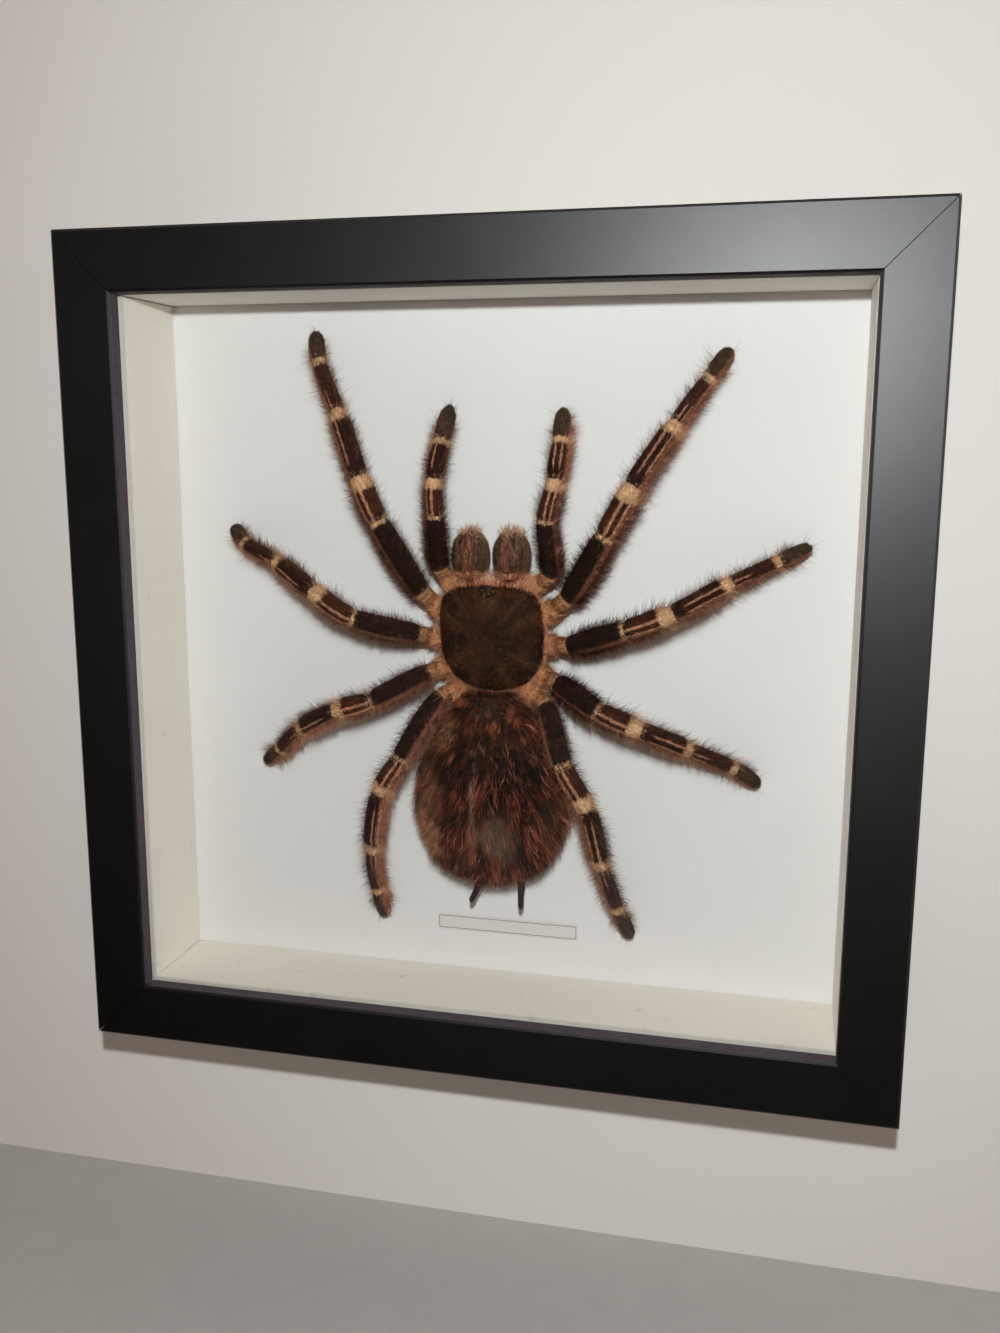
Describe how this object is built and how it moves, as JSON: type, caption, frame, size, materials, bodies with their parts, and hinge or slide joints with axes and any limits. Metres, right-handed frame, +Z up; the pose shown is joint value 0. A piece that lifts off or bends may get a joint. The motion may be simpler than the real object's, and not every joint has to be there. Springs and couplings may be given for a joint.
{
  "type": "framed tarantula specimen",
  "caption": "A dried, spread tarantula on a white card in a deep square box frame, with a glazed front, a black moulding and a toothed wall hanger at the back.",
  "frame": {"origin": "on the wall, at the top of the hanger's middle notch, where a nail carries the case", "axes": "+X to the right and +Z up as the case hangs, seen from the front; +Y runs from the glazed front into the wall"},
  "size_m": [0.25, 0.045, 0.25],
  "materials": {
    "black_foil": "satin black foil with a fine grain, wrapped round the wood",
    "steel": "bright zinc-plated",
    "clear_glass": "clear and flat",
    "white_paint": "matt white paint",
    "white_card": "matt, with a fine tooth",
    "label_paper": "matt, with a thin printed border",
    "hardboard": "raw brown hardboard",
    "velvet": "dark brown velvet pile with a pale orange fringe",
    "abdomen_hair": "matted brown and red-orange hair",
    "leg_hair": "dark brown hair with cream bands at the joints and pale pinkish stripes",
    "chelicera_hair": "grey-brown hair with pinkish stripes and orange-red bristles",
    "spinneret_hair": "short black hair"
  },
  "bodies": {
    "root": {"moulding_top": "black_foil", "moulding_right": "black_foil", "moulding_bottom": "black_foil", "moulding_left": "black_foil", "tab_top_left": "steel", "tab_top_right": "steel", "tab_right_upper": "steel", "tab_right_lower": "steel", "tab_bottom_right": "steel", "tab_bottom_left": "steel", "tab_left_lower": "steel", "tab_left_upper": "steel", "hanger_plate": "steel", "hanger_screw_left": "steel", "hanger_screw_right": "steel", "glass_pane": "clear_glass", "liner_top": "white_paint", "liner_bottom": "white_paint", "liner_left": "white_paint", "liner_right": "white_paint", "background_card": "white_card", "backing_board": "hardboard", "label_card": "label_paper", "leg_left_1": "leg_hair", "leg_left_2": "leg_hair", "leg_left_3": "leg_hair", "leg_left_4": "leg_hair", "leg_right_1": "leg_hair", "leg_right_2": "leg_hair", "leg_right_3": "leg_hair", "leg_right_4": "leg_hair", "palp_left": "leg_hair", "palp_right": "leg_hair", "cephalothorax": "velvet", "abdomen": "abdomen_hair", "chelicera_left": "chelicera_hair", "chelicera_right": "chelicera_hair", "spinneret_left": "spinneret_hair", "spinneret_right": "spinneret_hair"}
  },
  "joints": []
}
